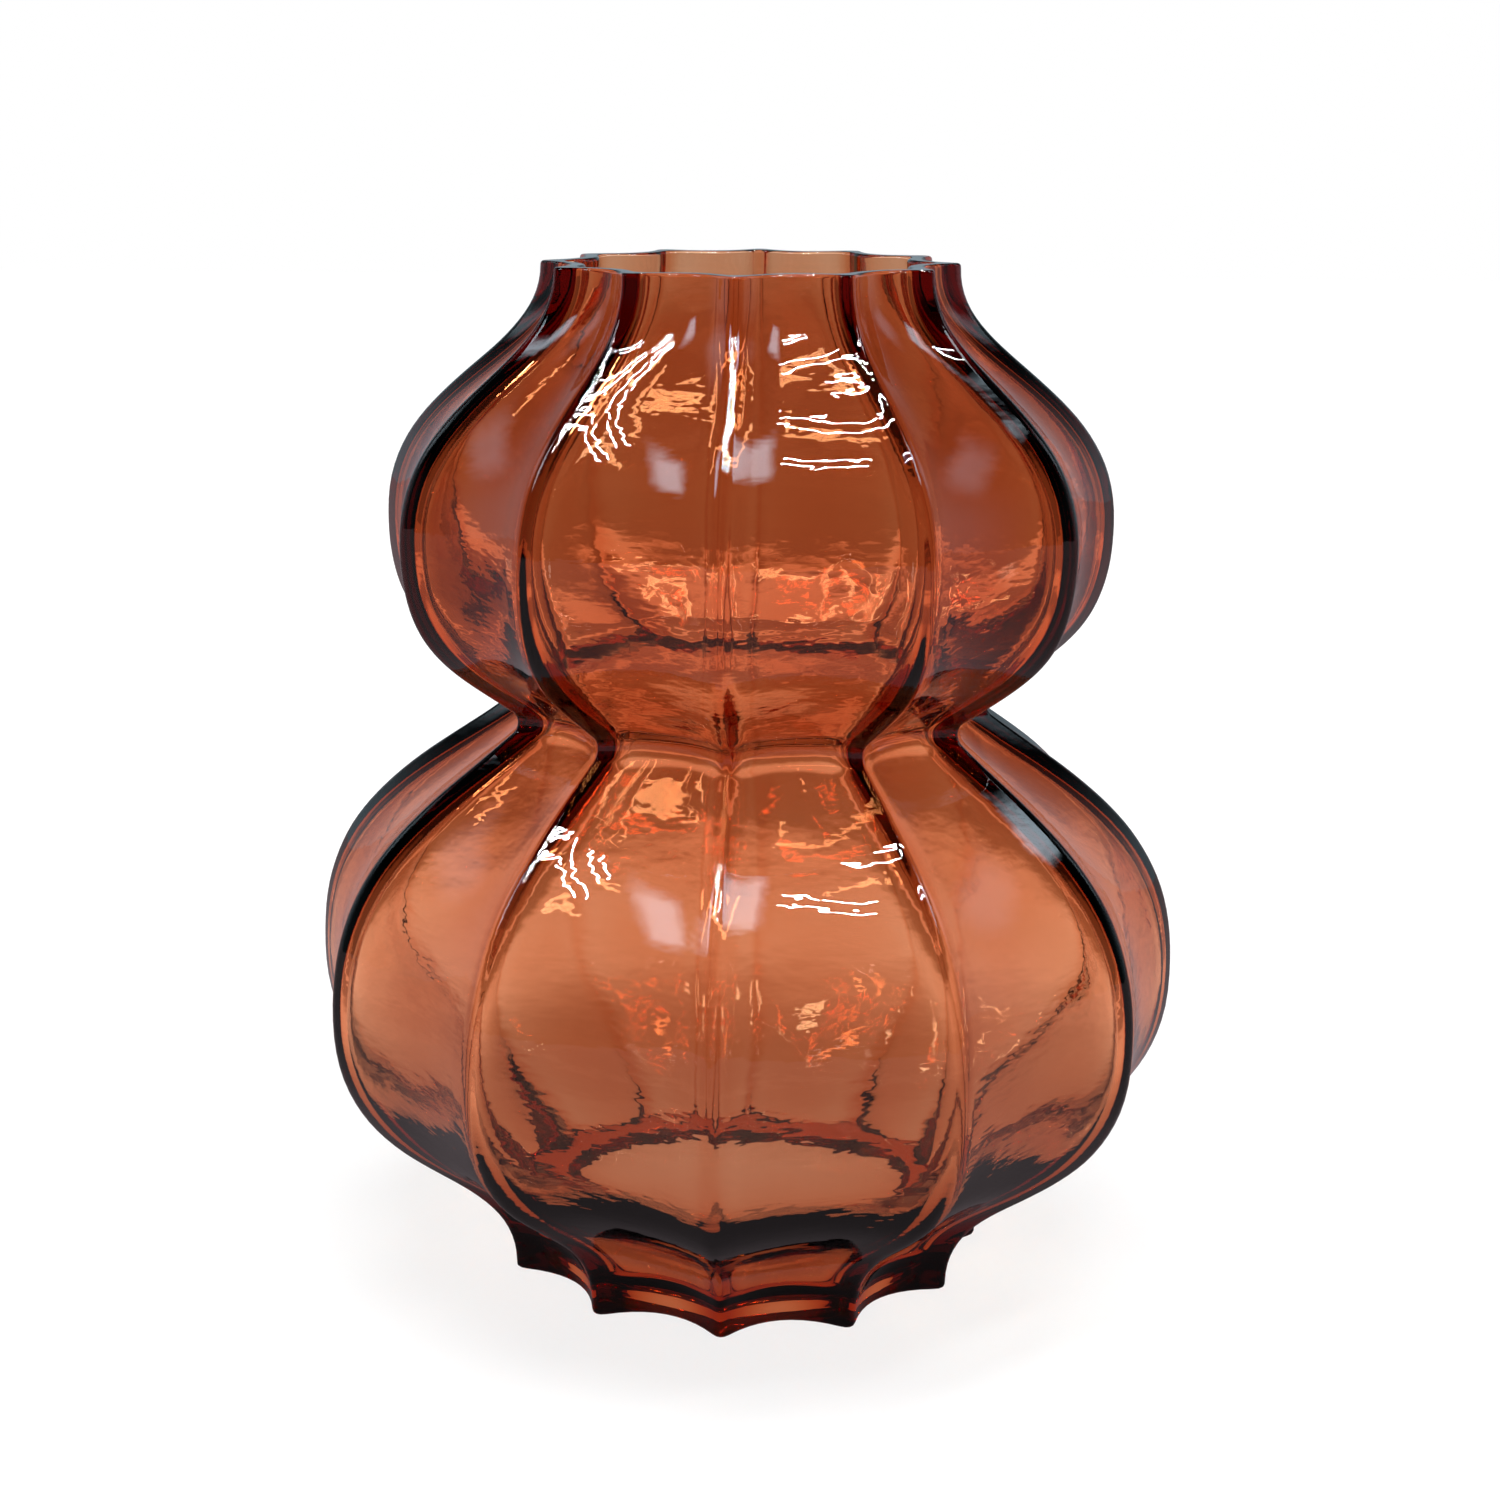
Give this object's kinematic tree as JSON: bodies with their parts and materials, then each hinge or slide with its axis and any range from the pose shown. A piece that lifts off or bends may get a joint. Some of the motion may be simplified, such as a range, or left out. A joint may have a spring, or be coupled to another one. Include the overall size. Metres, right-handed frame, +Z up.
{
  "type": "gourd vase",
  "caption": "Ridged double-gourd vase of clear amber-brown glass, with a pinched waist, a scalloped flat rim and a hollow scalloped foot, for flowers or stems.",
  "frame": {"origin": "centre of the foot, on the surface that the vase stands on", "axes": "+Z up along the axis of the vase; one ridge lies along -Y, towards the viewer of the picture"},
  "size_m": [0.191, 0.191, 0.22],
  "materials": {
    "amber_glass": "clear amber-brown blown glass, glossy all over"
  },
  "bodies": {
    "root": {"vase_body": "amber_glass"}
  },
  "joints": []
}
